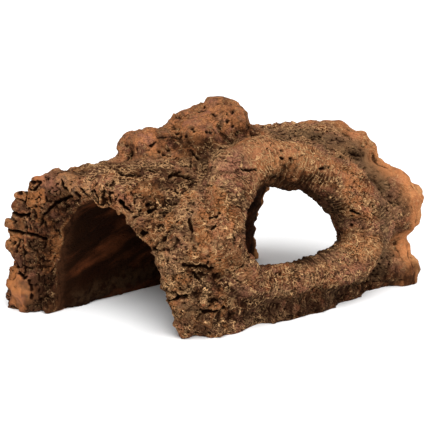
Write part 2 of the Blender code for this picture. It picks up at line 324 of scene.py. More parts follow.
rim = 1 - ease(rim_away, 1.0 * RIM_RADIUS, 1.45 * RIM_RADIUS)
rim_top = rim * ease(z + 5 * slow, 72, 86) * ease(x + 5 * slow, -22, -5) * (1 - ease(x + 5 * slow, 48, 66))
burl = (1 - ease(nearest_on(BURL_CORE)[0], 22, 31)) * ease(z, 97, 106)
hood_reach = 9 * ease(z, 60, 85)
pillar = outside * (1 - ease(from_left + 4 * slow, 16, 30)) * ease(y, 14, 26)
arch = outside * (1 - ease(from_left - hood_reach + 4 * slow, 4, 15)) * (1 - 0.8 * rim)
left_end = np.maximum(pillar, 0.7 * arch)
flare = outside * (1 - ease(from_far + 3 * slow, 12, 28)) * (1 - 0.9 * rim)
roof = outside * ease(normals[:, 2], 0.25, 0.75) * (1 - burl) * (1 - rim) * (1 - flare)
# undercut: the low front under the rim's lower lip, which the material darkens as painted shade.
undercut = outside * (1 - ease(z + 3 * slow, 12, 21)) * ease(-y, 45, 55) * ease(from_left, 30, 52)
sole = ease(-normals[:, 2], 0.5, 0.9) * (1 - ease(z, 0.5, 2.5))
calm = np.maximum(patch(SMOOTH_FOOT, 11), patch(SMOOTH_NUB, 6))
zones = {"rim": rim, "burl": burl, "left end": left_end, "flare": flare, "roof": roof, "sole": sole}
for title, mask in zones.items():
    print(f"{title}: {mask.mean():.0%} of the skin")

# %% [markdown]
# First the general bark. It comes off in sheets, so its base is soft noise cut into terraces: each sheet ends
# in a ragged step that is light along the top and dark along the foot. The sheets are broken into flakes,
# each with its own tilt and level, and the flakes into chips. Creases and crumbled pits open where the bark
# is loose.

# %% Sheets, flakes, chips and pits
SLANT = (1, 0.1, -0.45)
SHEET_SIZE, SHEET_RISE = 16.0, 0.40
FLAKE_SIZE, CHIP_SIZE = 8.5, 3.8

rough = outside * (1 - 0.75 * burl) * (1 - 0.4 * rim) * (1 - 0.6 * rim_top) * (1 - 0.85 * flare)
rough *= (1 - 0.75 * calm) * (1 - 0.85 * left_end)
opened = ease(hills(15, octaves=2, seed=3), 0.0, 0.5)
height = outside * 1.2 * hills(18, seed=10)
sheets = hills(SHEET_SIZE, octaves=4, stretch=1.8, heading=SLANT, wobble=2.5, seed=5)
height += rough * 2.2 * terraces(sheets, SHEET_RISE)
border, tilt, flake_tone = plates(FLAKE_SIZE, stretch=1.7, heading=SLANT, wobble=3.0, seed=50)
height += rough * (0.60 * tilt + 0.70 * (flake_tone - 0.5) - 0.4 * opened * cracks(border, 0.45))
_, tilt, chip_tone = plates(CHIP_SIZE, stretch=1.5, heading=SLANT, wobble=2.0, seed=57)
height += rough * (0.25 * tilt + 0.42 * (chip_tone - 0.5))
height += (0.15 * outside + 0.85 * rough) * 0.20 * (crests(4.0, octaves=3, stretch=1.5, seed=40) - 0.5)
height -= rough * 0.7 * opened * creases(hills(7.0, octaves=3, stretch=1.6, seed=61), 0.07)
height -= rough * 0.9 * opened * ease(hills(3.2, octaves=2, seed=77), 0.45, 0.65)
print("relief so far, mm:", [round(v, 2) for v in (height.min(), height.max())])

# %% [markdown]
# The roof is older and drier. Its flakes are long in the direction of the grain and curl up along one side,
# with a dark slit under the curl.

# %% Long flakes on the roof
ROOF_GRAIN = (1, -0.7, -0.1)
ROOF_FLAKE_WIDTH = 5.0

border, tilt, level = plates(ROOF_FLAKE_WIDTH, stretch=3.5, heading=ROOF_GRAIN, wobble=2.5, seed=130)
slit = cracks(border, 0.7) * ease(tilt, 0.1, 0.6)
height += roof * (1 - left_end) * (0.45 * tilt + 0.8 * (level - 0.5) - 1.3 * slit)
print(f"slits under curls: {(roof * slit > 0.5).mean():.1%} of the skin")

# %% [markdown]
# The left end is cork-like: flat blocks at different levels with thin cracks between them. Blocky cells need
# the Chebychev distance, which is the longest of the steps along the axes.

# %% Broken bark at the left end
BLOCK_SIZE, PLATE_SIZE = 13.0, 5.5

broken = left_end * (1 - 0.85 * calm)
split = ease(hills(7.0, octaves=2, seed=19), -0.15, 0.25)
border, tilt, block_tone = plates(BLOCK_SIZE, metric="CHEBYCHEV", wobble=1.2, seed=23)
blocks = (1.9 * tilt + 2.4 * (block_tone - 0.9)) * (1 - 0.35 * pillar) - 2.0 * split * cracks(border, 0.7)
_, tilt, level = plates(PLATE_SIZE, metric="CHEBYCHEV", stretch=1.5, wobble=1.0, seed=29)
height += broken * averaged(blocks + (1 - calm) * (0.30 * tilt + 0.40 * (level - 0.5)), 1)
height -= broken * 1.0 * creases(hills(9.0, octaves=3, stretch=1.8, heading=(0.3, 1, 0.1), seed=66), 0.05)
print("blocks, mm:", [round(v, 2) for v in np.percentile(blocks[left_end > 0.5], [5, 95])])

# %% [markdown]
# The rim healed round a lost branch. New wood rolled inwards there, so fine growth lines run across the rope.
# The coordinate along the rope gives them, bent a little by noise, and they are clearest at the top. The side
# of the rope that looks into the hole gets painted shade, strongest under the top of the rim and weaker where
# the rim's right side is lit low down, and the painted shade runs out in streaks between the lines.

# %% Growth lines and painted shade on the rim
LINE_PITCH = 2.4
HOLE_MIDDLE = np.mean(RIM[:-1], axis=0) + (0, 12, -6)

line_phase = rim_along + 1.2 * hills(7.0, octaves=3, seed=31)
lines = np.sin(math.tau * line_phase / LINE_PITCH) * ease(slow, -0.6, 0.2)
rim_lines = np.maximum(rim_top, 0.5 * rim)
height += 0.35 * rim_lines * lines
to_hole = HOLE_MIDDLE - place
toward_hole = (normals * to_hole).sum(axis=1) / np.linalg.norm(to_hole, axis=1)
streaky = np.array([noise.noise(Vector((p / 1.9, a / 8, 0))) for p, a in zip(line_phase, rim_away)])
# sunny: where the painted shade on the hole's side is weaker because light falls there; under_top: where it is
# stronger, under the top of the rim.
sunny = 0.6 * ease(x, 40, 60) * (1 - ease(z, 58, 74))
under_top = 0.32 * ease(z, 60, 76) * ease(x, 0, 20)
hole_side_shade = rim * ease(toward_hole + 0.6 * streaky + 0.1 * slow + under_top, 0.35, 0.75) * (1 - sunny)
dark_streaks = rim_top * ease(streaky, 0.0, 0.25) * ease(toward_hole, -0.35, 0.15) * ease(x, 5, 22)
hole_side_shade = np.maximum(hole_side_shade, dark_streaks)
height += rim * ease(toward_hole, 0.5, 0.9) * (1.0 * hills(6.0, octaves=3, seed=260) + 0.8 * streaky)
print(f"growth lines every {LINE_PITCH} mm; the hole's side is {hole_side_shade.mean():.0%} of the skin")

# %% [markdown]
# The burl is a knob of swirled wood without flakes. It has soft facets, a fine roughness and a few round
# pits. A pit sits in the middle of a cell, and only the cells with a high level get one.

# %% Pits and facets on the burl
PIT_SPACING, FACET_SIZE = 7.0, 13.0

_, _, level = plates(PIT_SPACING, seed=71)
to_middle = np.array([noise.voronoi(spot)[0][0] for spot in grain_space(PIT_SPACING, seed=71)])
pits = np.exp(-((to_middle / 0.18) ** 2)) * (level > 0.78)
height -= 1.2 * np.maximum(burl, 0.4 * rim) * pits
_, tilt, level = plates(FACET_SIZE, metric="CHEBYCHEV", wobble=2.5, seed=148)
height += burl * averaged(1.3 * tilt + 0.5 * (level - 0.5) + 0.3 * crests(7.0, octaves=3, seed=140), 2)
height += burl * 0.45 * (crests(3.0, octaves=3, seed=141) - 0.5)
print("with the burl, mm:", [round(v, 2) for v in (height.min(), height.max())])

# %% [markdown]
# Some marks are too particular for noise, so each one is listed. Most of their points were picked on the
# photograph and cast from the camera onto the imported solid, which gave these places in whole millimetres.
# Cracks are thin and steep. Crevices are wider and have a curled lip, as bark does when it peels. Clefts run
# between the blocks of the left end. The pits are single holes that insects or rot left.

# %% Cracks, crevices, clefts and pits
CRACKS = (
    ((-122, 58, 68), (-122, 56, 66), (-117, 51, 65), (-115, 50, 67)),
    ((-123, 59, 55), (-122, 54, 54), (-118, 48, 54), (-114, 43, 53), (-112, 39, 51)),
    ((-122, 54, 49), (-123, 56, 41)), ((-117, 51, 70), (-114, 48, 72), (-114, 39, 73)),
    ((-120, 55, 76), (-118, 51, 74), (-117, 51, 72)), ((-121, 51, 46), (-121, 50, 35), (-123, 49, 27)),
    ((-114, 41, 60), (-114, 37, 68), (-112, 34, 71), (-108, 31, 76), (-106, 29, 77), (-102, 21, 82)),
    ((-117, 50, 84), (-115, 45, 83), (-113, 43, 86), (-113, 39, 90)), ((-112, 37, 63), (-112, 36, 60)),
    ((-127, 54, 29), (-125, 51, 27), (-123, 48, 25)), ((-121, 46, 23), (-120, 45, 17), (-121, 45, 11)),
    ((-116, 50, 65), (-117, 47, 57)), ((-112, 39, 49), (-113, 38, 46), (-114, 40, 44)),
    ((-106, 26, 92), (-105, 23, 87)), ((-104, 23, 86), (-102, 21, 82)), ((-100, 19, 84), (-100, 16, 82)),
    ((-98, 16, 87), (-98, 11, 85), (-95, 9, 80), (-92, 6, 77)), ((-94, 6, 87), (-92, 5, 84), (-92, 3, 77)),
    ((-91, 1, 87), (-87, -5, 87)), ((-89, -3, 86), (-89, -2, 81)),
    ((-86, -6, 82), (-85, -9, 86), (-83, -10, 88)), ((-83, -9, 81), (-82, -10, 78), (-80, -13, 76)),
    ((-82, -17, 76), (-80, -27, 77), (-69, -20, 75), (-65, -20, 76)), ((-61, -8, 100), (-59, -11, 100)),
    ((-74, -36, 55), (-72, -38, 58), (-75, -43, 62)), ((-39, -20, 87), (-35, -19, 89)),
    ((-65, -60, 44), (-61, -60, 39), (-60, -61, 37)), ((-35, -22, 87), (-43, -38, 90), (-46, -51, 94)),
    ((-72, -46, 26), (-70, -56, 29)), ((-72, -54, 33), (-70, -53, 28)),
    ((-72, -45, 23), (-73, -49, 18), (-72, -53, 14)), ((-59, -65, 27), (-55, -64, 24)),
    ((-21, -50, 101), (-16, -51, 100), (-9, -50, 99)), ((-27, -5, 106), (-25, -9, 102), (-23, -9, 100)),
    ((-42, 13, 111), (-36, 10, 112)), ((-48, 10, 109), (-45, 11, 110)), ((12, -47, 104), (15, -48, 102)),
    ((19, -50, 102), (21, -50, 102)), ((19, -40, 110), (24, -44, 109)), ((60, -65, 64), (66, -69, 61)),
    ((-52, -57, 76), (-49, -60, 77)), ((-47, -61, 79), (-45, -63, 79)), ((-45, -65, 77), (-44, -67, 76)),
    ((-52, -60, 70), (-51, -62, 72)), ((-59, -47, 75), (-61, -50, 71), (-61, -52, 68)),
    ((-66, -60, 45), (-62, -59, 41), (-60, -61, 37)), ((-63, -63, 20), (-55, -63, 18), (-47, -67, 19)),
    ((-95, 7, 86), (-93, 6, 81), (-91, 2, 77)), ((-98, 12, 86), (-96, 10, 82)), ((-91, 0, 86), (-91, 1, 78)),
    ((-89, -3, 85), (-89, -3, 80)), ((-86, -6, 87), (-85, -8, 85)),
)
CREVICES = (
    ((-74, -27, 53), (-72, -31, 55), (-75, -41, 61), (-73, -43, 64)), ((-77, -24, 63), (-75, -27, 64)),
    ((-72, -46, 26), (-71, -51, 28), (-70, -58, 30)), ((-76, -53, 33), (-72, -54, 31)),
    ((-84, -8, 82), (-81, -11, 78), (-80, -14, 76), (-79, -23, 78), (-69, -19, 79)),
    ((-83, -15, 71), (-84, -25, 75), (-77, -26, 77), (-69, -20, 75)), ((-63, -22, 73), (-58, -26, 75)),
    ((-79, 8, 97), (-76, 4, 96), (-74, 1, 96), (-71, -2, 96), (-67, -6, 95)),
    ((-63, -8, 97), (-62, -10, 98), (-61, -14, 97)), ((-53, -17, 94), (-47, -16, 95), (-43, -16, 96)),
    ((-49, -16, 95), (-41, -17, 92), (-33, -17, 90)), ((38, -58, 94), (46, -58, 94)),
    ((84, -40, 96), (94, -40, 93)), ((-70, -57, 50), (-67, -60, 49), (-60, -61, 48), (-55, -64, 45)),
)
CLEFTS = (
    ((-124, 66, 69), (-122, 58, 68), (-122, 56, 66), (-117, 51, 65), (-115, 50, 67)),
    ((-126, 68, 56), (-123, 59, 55), (-122, 54, 54), (-118, 48, 54), (-114, 43, 53), (-112, 39, 51)),
    ((-129, 60, 31), (-127, 54, 29), (-125, 51, 27), (-123, 48, 25)), ((-124, 64, 43), (-122, 56, 42)),
    ((-121, 62, 82), (-119, 54, 80)), ((-116, 52, 90), (-115, 45, 88), (-113, 40, 89)),
    ((-114, 41, 60), (-114, 37, 68), (-112, 34, 71), (-108, 31, 76), (-106, 29, 77), (-102, 21, 82)),
)
PITS = (
    (1, 17, 129), (-1, 5, 126), (-1, 3, 125), (5, -3, 126), (4, -4, 121), (-21, 1, 118), (-21, -1, 117),
    (-13, -4, 116), (-11, -4, 115), (-28, 8, 116), (-28, 4, 114), (-26, 1, 114), (-44, 7, 104), (-42, 4, 103),
    (-38, 4, 105), (16, -45, 107), (62, -65, 59), (64, -63, 53), (-50, -64, 40), (-58, -62, 50),
    (-75, -45, 58), (-62, -25, 72), (-68, -44, 74), (-39, -71, 59), (7, -6, 118), (10, -8, 114),
)

crooked = 0.9 * hills(3.2, octaves=3, seed=210)


def away_from(routes):
    """The skin's distance from the nearest of some routes, made uneven."""
    return np.min([nearest_on(route)[0] for route in routes], axis=0) + crooked


MARKS = (  # distance, half width, depth, rise of the lip
    (away_from(CRACKS), 0.65, 2.4, 0.2),
    (away_from(CREVICES), 1.0, 2.8, 1.2),
    (away_from(CLEFTS), 0.9, 2.2, 0.3),
    (nearest_spot(PITS) + 0.5 * crooked, 1.1, 2.2, 0.3),
)
cut = np.zeros(len(place))
for away, half_width, depth, lip in MARKS:
    groove = np.exp(-((away / half_width) ** 2))
    raised = np.exp(-(((away - 2.1 * half_width) / half_width) ** 2))
    height += outside * (lip * raised - depth * groove)
    cut = np.maximum(cut, outside * groove)
drawn = {"cracks": CRACKS, "crevices": CREVICES, "clefts": CLEFTS, "pits": PITS}
print("marks cut:", ", ".join(f"{len(marks)} {title}" for title, marks in drawn.items()))

# %% [markdown]
# Larger dents and bumps put right what the solid has only roughly: the hollow over the lower lip, the waist
# on the rim's right side, and the notch under the burl's knob.

# %% Dents and bumps
DENTS = (  # half width, depth (a bump where negative), route
    (7.0, 1.6, ((60, -66, 64), (64, -66, 55))),
    (9.0, -1.8, ((50, -62, 79), (46, -62, 81))),
    (10.0, -2.0, ((70, -70, 44), (62, -72, 34))),
    (7.0, 3.6, ((-48, -68, 12), (-28, -68, 14), (8, -75, 14), (40, -74, 13), (66, -68, 10))),
    (6.0, 2.2, ((-18, -70, 30), (10, -68, 28))),
    (5.5, 3.0, ((-64, 21, 105), (-61, 12, 105))),
    (7.0, -1.6, ((-46, 17, 116), (-40, 17, 117))),
    (9.0, -3.0, ((-122, 62, 74), (-123, 60, 66))),
    (6.0, 3.5, ((-129, 68, 33), (-126, 58, 32))),
    (5.0, 2.5, ((-130, 64, 26), (-128, 60, 24))),
    (6.0, 2.0, ((-111, 38, 94), (-104, 37, 95))),
    (8.0, 4.5, ((103, -38, 99), (106, -44, 93))),
    (8.0, 2.5, ((-65, 24, 114), (-65, 19, 109))),
    (6.0, 1.8, ((40, -50, 72), (48, -56, 67), (55, -55, 60))),
    (8.0, 1.5, ((-26, 16, 122), (-10, 18, 127))),
    (7.0, -1.8, ((-46, 19, 115), (-38, 18, 118))),
    (5.0, 1.6, ((9, -41, 87), (17, -43, 85), (34, -44, 78), (48, -56, 67), (55, -55, 60))),
    (3.5, 1.8, ((-70, -57, 50), (-65, -60, 48), (-58, -61, 45), (-55, -64, 41), (-49, -64, 40))),
    (4.5, 1.8, ((-53, -64, 39), (-46, -65, 34), (-43, -66, 29), (-42, -69, 17), (-39, -68, 12))),
    (3.0, -1.3, ((-76, -43, 51), (-74, -50, 55), (-70, -53, 58), (-63, -54, 61), (-55, -58, 61))),
    (3.0, -1.3, ((-47, -66, 63), (-45, -71, 59), (-43, -72, 54), (-40, -70, 49))),
)
for half_width, depth, route in DENTS:
    height -= depth * np.exp(-((nearest_on(route)[0] / half_width) ** 2)) * (1 + 0.4 * slow)
print(len(DENTS), "dents and bumps; relief, mm:", [round(v, 2) for v in (height.min(), height.max())])

# %% [markdown]
# The far flare is smooth wood with soft folds along its edge. Inside, the tunnel's wall has only the long
# streaks of the grain, and a low lump along the foot of the back wall. The soles stay flat.

# %% Folds of the flare and the tunnel's wall
FOLD_PITCH = 10.0
TUNNEL_GRAIN = (1, 0, 0.45)
LUMP = ((-88, 39, 5), (-79, 40, 8), (-62, 41, 10), (-46, 41, 11), (-29, 41, 12), (-10, 41, 12))

height += flare * 0.8 * np.sin(math.tau * (from_far + 4 * slow) / FOLD_PITCH)
streaks = hills(7.0, stretch=4.5, heading=TUNNEL_GRAIN, wobble=3, seed=15)
inner_lump = band(LUMP, 2, 12)
height = outside * height + (1 - outside) * (0.9 * streaks + 3.0 * inner_lump)
height *= 1 - sole
print("after all marks, mm:", [round(v, 2) for v in (height.min(), height.max())])

# %% [markdown]
# Both ends are broken edges. A change along the normals would only make them thicker or thinner, so their
# outline needs a second change, along the log: nibbled all round, waved along the back of the far end, and
# shifted in a few places that stand out or fall back.

# %% Edges of the two ends
WAVE_PITCH = 11.5
SHIFTS = (  # half width, change along the log, route
    (11.0, -4.0, ((-77, -26, 62), (-77, -42, 50), (-77, -48, 38), (-75, -50, 32))),
    (9.0, 6.5, ((117, -60, 34), (117, -60, 40))), (9.0, 2.5, ((-131, 60, 22), (-131, 62, 8))),
    (8.0, 1.5, ((-131, 62, 4), (-129, 54, 4))), (8.0, 3.0, ((-66, 22, 112), (-64, 20, 106))),
    (8.0, -2.0, ((-126, 62, 66), (-126, 60, 58))), (6.0, -1.5, ((-127, 58, 34), (-127, 58, 38))),
)

_, _, notch = plates(8.0, wobble=2.0, seed=310)
nibbled = 1.6 * hills(5.0, octaves=3, seed=300) + 2.4 * (notch - 0.5) - 0.8
slide = nibbled * (1 - ease(from_far, 0.5, 7)) - 0.5 * nibbled * (1 - ease(from_left, 1, 7))
back_edge = (1 - ease(from_far, 3, 12)) * ease(y, 10, 30)
slide += 1.2 * back_edge * (np.cos(math.tau * (z + 6 * slow) / WAVE_PITCH) - 1)
for half_width, change, route in SHIFTS:
    slide += change * np.exp(-((nearest_on(route)[0] / half_width) ** 2))
slide = averaged(slide, 2)
print("along the log, mm:", [round(v, 2) for v in (slide.min(), slide.max())])

# %% [markdown]
# All of this is two numbers per vertex, so one move along the normals and one along the log shape the skin.
# The feet stay on the floor, and nothing grows outside the solid's own box.

# %% Move the skin
mean_lift = float(np.average(height, weights=outside))
moved = points + normals * ((height - mean_lift * outside) * MM)[:, None]
moved[:, 0] += slide * MM
moved = np.clip(moved, np.array(cad_low), np.array(cad_high))
log.data.vertices.foreach_set("co", moved.ravel())
log.data.update()
print("skin, mm:", ((moved.max(0) - moved.min(0)) / MM).round(1))

# %% [markdown]
# Weathered bark is light on its edges and dark in its hollows, and that dark is partly the bark's own and
# partly painted shade. It is not noise but shape, so it is measured on the finished mesh: a vertex that stands
# above the mean of its neighbours is an edge, and one below is a hollow. Averaging over more rings gives the
# same at a broader scale.

# %% Measure edges and hollows
skin_normals = read(log.data, "normal")
fine = ((moved - averaged(moved, 2)) * skin_normals).sum(axis=1) / MM
broad = ((moved - averaged(moved, 18)) * skin_normals).sum(axis=1) / MM
print("edges stand, mm:", np.percentile(fine, [5, 50, 85, 95]).round(3))
print("lumps stand, mm:", np.percentile(broad, [5, 50, 85, 95]).round(3))

# %% [markdown]
# A material can't see these arrays, but it can read attributes, which are numbers kept with the vertices, and
# which Decimate carries over to the vertices it keeps. Most of them only repeat a mask from above.


# %% Keep the masks for the material
def store(title, values):
    """Keeps a number for each vertex, for the material to read."""
    kept = log.data.attributes.new(title, "FLOAT", "POINT")
    kept.data.foreach_set("value", values.astype(np.float32))


near_an_end = np.maximum(1 - ease(from_left + 3 * ragged, 8, 17), 1 - ease(from_far + 3 * ragged, 8, 20))
masks = {
    "outside": outside, "pillar": pillar, "roof": roof, "burl": burl, "calm": calm, "undercut": undercut,
    "rim_top": rim_top, "hole_side_shade": hole_side_shade, "line_phase": line_phase, "far_distance": from_far,
    "flake_tone": flake_tone, "chip_tone": chip_tone, "inner_lump": inner_lump,
}
for title, mask in masks.items():
    store(title, mask)
store("block_tone", 1 + left_end * (block_tone - 1))
store("rim_lines", rim_lines * ease(slow, -0.7, 0.3))
store("flare", flare * (1 - 0.35 * ease(z + 3 * ragged, 88, 100)))
store("inner_strip", near_an_end * ease(y, 8, 18))
store("edge", ease(fine, 0.17, 0.38) * (1 - 0.7 * flare) * (1 - 0.3 * pillar))
store("crown", ease(broad, 0.0, 0.9))
store("hollow", np.maximum(ease(-broad, 0.05, 0.9), 0.9 * cut) * (1 - 0.4 * rim_top))
store("groove", np.maximum(ease(-fine, 0.18, 0.50) * (1 - 0.6 * rim_top), 0.9 * cut))
print("attributes so far:", len(log.data.attributes))

# %% [markdown]
# Light from above hardly reaches some corners: over the lower lip, under the top of the rim, beside the burl,
# behind the rim's right side, inside the left arch and in a hollow of the tunnel's back wall. Their shade is
# painted into the colour as dark bands along routes, and most of the routes' points were found on the
# photograph as those of the marks were.

# %% Painted shade in corners
SHADES = (  # reach of the shade, route
    (8, ((42, -57, 86), (46, -59, 86), (50, -61, 83))),
    (9, ((-14, -66, 12), (-30, -68, 10), (-45, -67, 11))),
    (6, ((-69, -19, 78), (-61, -21, 78), (-55, -25, 80), (-47, -25, 85), (-38, -20, 87))),
    (7, ((-69, -59, 49), (-58, -61, 44), (-53, -65, 38), (-48, -66, 29))),
    (8, ((111, -68, 44), (104, -70, 38))),
    (9, ((-50, -65, 37), (-46, -65, 34), (-42, -67, 24), (-40, -68, 12))),
    (8, ((-48, -65, 31), (-36, -67, 23))),
    (10, ((-32, -67, 19), (-23, -70, 17), (-21, -71, 21))),
    (8, ((-60, -63, 34), (-52, -64, 30))),
    (9, ((97, -48, 74), (95, -58, 50), (92, -60, 30))),
    (10, ((-112, 36, 52), (-111, 36, 30), (-112, 38, 14))),
    (9, (
        (0, -51, 93), (14, -46, 89), (24, -47, 87), (33, -50, 83), (39, -56, 79), (46, -60, 74),
        (54, -59, 65),
    )),
    (6, ((33, -50, 83), (35, -55, 88), (37, -58, 91))),
    (5, ((17, -48, 96), (19, -50, 100))),
    (11, (
        (-38, 8, 110), (-31, 1, 109), (-24, -6, 107), (-14, -9, 107), (-4, -13, 108), (9, -11, 111),
        (26, -3, 112),
    )),
    (6, ((84, -40, 96), (94, -40, 93))),
    (6, ((-121, 50, 40), (-121, 50, 30))),
    (13, ((-112, 38, 10), (-113, 39, 41), (-112, 39, 51), (-111, 35, 63), (-108, 30, 72), (-104, 21, 78))),
)
INNER_HOLLOW = ((-84, 39, 17), (-77, 40, 21), (-69, 40, 24))

shades = [1 - ease(nearest_on(route)[0] + 2.5 * ragged, 0.2 * reach, reach) for reach, route in SHADES]
store("shade", np.max(shades, axis=0))
store("inner_hollow", 1 - ease(nearest_on(INNER_HOLLOW)[0] + 2 * ragged, 2, 8))
print(len(SHADES), "corners with painted shade")

# %% [markdown]
# The bark's colour also changes from place to place, as wear, water and moss leave it. The patches of murk are
# painted shade instead, and the sunlit patches are painted sunlight. Each patch says how strong it is, how far
# it reaches and the places it covers, most of them found like those of the marks. Where patches of one colour
# overlap, the stronger one counts.

# %% Patches of colour
PATCHES = {  # strength, radius, places
    "orange": (
        (0.5, 7, ((9, -47, 99), (20, -50, 98), (-2, -48, 101))), (0.5, 6, ((-75, -53, 37), (-71, -53, 23))),
        (0.5, 9, ((-38, -66, 73), (-44, -69, 66), (-46, -70, 56), (-43, -69, 48), (-32, -73, 39))),
        (0.4, 4, ((-122, 54, 51), (-120, 54, 61), (-112, 36, 64), (-118, 51, 76))),
        (0.7, 5, ((-76, -40, 56), (-77, -46, 47))), (0.8, 6, ((-124, 62, 48), (-123, 58, 50))),
        (0.5, 9, ((63, -65, 46), (57, -67, 41), (70, -70, 44))), (0.6, 9, ((69, -70, 67), (76, -68, 60))),
        (0.8, 10, ((62, -63, 87), (60, -66, 80), (59, -66, 72), (61, -66, 65))),
        (0.6, 10, ((66, -76, 42), (74, -77, 40), (60, -72, 42))), (0.6, 4, ((-75, -53, 37), (-72, -54, 40))),
        (0.4, 10, ((-44, 5, 103), (-25, -4, 109))),
    ),
    "pink": (
        (1.0, 9, ((-110, 35, 92), (-108, 30, 89))), (0.7, 13, ((-55, 25, 114), (-59, 14, 112))),
        (0.7, 12, ((-5, -43, 109), (3, -42, 112), (-16, -47, 105))), (0.5, 10, ((66, -65, 51),)),
        (0.6, 12, ((-30, -45, 98), (-36, -48, 92))), (0.7, 7, ((-129, 52, 8),)),
        (0.6, 10, ((-48, -48, 85), (-50, -64, 72), (-48, -67, 60))),
        (1.0, 7, ((-96, 10, 91), (-93, 4, 91), (-85, 1, 91), (-82, -12, 80), (-84, -22, 72), (-83, -28, 70))),
    ),
    "grey": (
        (1.0, 6, ((-104, 22, 91), (-101, 21, 87))), (1.0, 5, ((-98, 13, 87), (-96, 8, 83))),
        (0.8, 7, ((-55, -26, 79), (-63, -42, 78), (-56, -44, 80))),
        (1.0, 5, ((-74, -34, 52), (-76, -38, 50))),
    ),
    # Patches of murk: painted shade where less light falls.
    "murk_shade": (
        (1.0, 8, (
            (-121, 46, 5), (-117, 43, 10), (-113, 40, 12), (-110, 37, 6), (-113, 38, 21), (-117, 42, 20),
        )),
        (0.9, 14, (
            (-86, 24, 97), (-83, 16, 98), (-74, 12, 99), (-71, 0, 98), (-62, -10, 97), (-56, -17, 95),
        )),
        (0.5, 10, ((-21, -7, 107), (-14, -10, 104), (-30, -43, 88), (-34, -58, 78), (-42, -64, 62))),
        (0.5, 8, ((-63, 11, 102), (-53, -19, 89), (-44, -21, 86), (-75, -28, 69), (-71, -32, 65))),
        (0.5, 8, ((-48, -68, 60), (-43, -72, 54), (81, -74, 61), (79, -78, 45))),
        (0.5, 13, ((-66, -62, 12), (-58, -64, 8))),
        (0.25, 15, ((-58, -45, 68), (-52, -60, 56), (-62, -56, 56))),
    ),
    "mossy": (
        (1.0, 12, (
            (-76, -45, 53), (-76, -51, 48), (-74, -54, 34), (-69, -58, 43), (-63, -62, 34), (-71, -55, 21),
        )),
    ),
    # Sunlit patches: painted sunlight on crests and edges.
    "sunlit": (
        (1.0, 10, ((61, -67, 44), (64, -73, 39), (69, -78, 38), (80, -39, 97), (82, -42, 90))),
        (0.8, 9, (
            (4, -48, 99), (14, -48, 101), (27, -51, 102), (0, -40, 112), (15, -42, 112), (30, -44, 110),
        )),
        (0.5, 9, ((118, -67, 70),)), (0.3, 10, ((-60, 16, 114), (-60, 18, 108))),
        (0.7, 7, ((-126, 64, 41), (-124, 62, 48))),
    ),
}


def patches(title):
    """All patches of one colour."""
    return np.max([strength * patch(places, radius) for strength, radius, places in PATCHES[title]], axis=0)


store("pink", patches("pink"))
store("grey", patches("grey"))
store("orange", np.maximum(0.5 * calm, patches("orange")))
print("patches:", {title: len(rows) for title, rows in PATCHES.items()})

# %% [markdown]
# Some colours follow a form instead: murk as painted shade in the valley beside the rim, olive along the gutter
# behind it and on the rim's right flank, partly the bark's own olive and partly painted shade, moss low on the
# front, and painted sunlight on the crests and edges that catch the sun.

# %% Bands of colour
VALLEY = ((-18, -18, 103), (-43, -25, 93), (-80, -24, 76))
GUTTER = (
    (30, 6, 110), (44, -1, 109), (62, -20, 108), (80, -30, 104), (92, -40, 92), (97, -48, 74), (95, -58, 50),
    (90, -60, 20),
)
RIM_FLANK = ((103, -43, 85), (92, -58, 78), (84, -71, 69), (81, -78, 53), (80, -78, 36), (88, -66, 22))
RIM_FOOT = ((0, -76, 32), (36, -77, 33), (66, -76, 38))
ARCH_EDGE = (
    (-104, 23, 89), (-99, 19, 92), (-97, 9, 86), (-90, 0, 81), (-87, -4, 76), (-84, -20, 72), (-82, -30, 62),
    (-78, -40, 52),
)

# Painted shade as murk along the valley beside the rim and in the patches of murk.
store("murk_shade", np.maximum(0.6 * band(VALLEY, 5, 13), patches("murk_shade")))
# Olive along the gutter and on the rim's right flank: partly the bark's own olive, partly painted shade.
near_gutter = np.minimum(nearest_on(GUTTER)[0], nearest_on(RIM_FLANK)[0] + 7)
near_gutter += 3 * ragged + 5 * ease(z, 102, 110) - 2 * ease(x, 84, 94)
store("olive_and_shade", outside * (1 - ease(near_gutter, 6, 16)))
low_front = outside * (1 - ease(z + 4 * ragged, 10, 32)) * ease(-y, 40, 55) * (1 - ease(x, 60, 80))
store("mossy", np.maximum(0.6 * low_front, patches("mossy")))
# Painted sunlight: on the arch's edge, on the rim's foot, on the top of the burl and in the sunlit patches.
sunlit = np.maximum.reduce([
    band(ARCH_EDGE, 5, 12), 0.6 * band(RIM_FOOT, 4, 10), 0.4 * burl * ease(z, 108, 124), patches("sunlit"),
])
store("sunlit", outside * sunlit)
print("attributes:", len(log.data.attributes))

# %% [markdown]
# The dense skin carries all of that, but a piece may have only so many triangles. Decimate takes them away
# where the surface is plain, mostly in the tunnel, and leaves the crisp edges of the bark their small faces.

# %% Fewer faces where the wood is plain
FACES_KEPT = 195_000
triangles = sum(len(face.vertices) - 2 for face in log.data.polygons)
apply(log, "DECIMATE", ratio=FACES_KEPT / triangles)
log.data.shade_smooth()
print("skin:", triangles, "triangles, thinned to", sum(len(f.vertices) - 2 for f in log.data.polygons))

# %% [markdown]
# The bark's colour is built in layers: a reddish brown ground that drifts towards grey olive and pinkish brown,
# darkness in the hollows that is partly its own and partly painted shade, painted shade and painted sunlight in
# some places, and tan on the edges that the sun bleached. That takes many nodes of few kinds, so each kind gets
# a helper that returns its output socket.

# %% Material helpers
bark = bpy.data.materials.new("weathered bark")
bark.use_nodes = True
tree = bark.node_tree
shader = tree.nodes["Principled BSDF"]
shader.inputs["Roughness"].default_value = 0.75
shader.inputs["Specular IOR Level"].default_value = 0.02
coordinates = tree.nodes.new("ShaderNodeTexCoord")


def link(source, target):
    """Joins an output to an input."""
    tree.links.new(source, target)


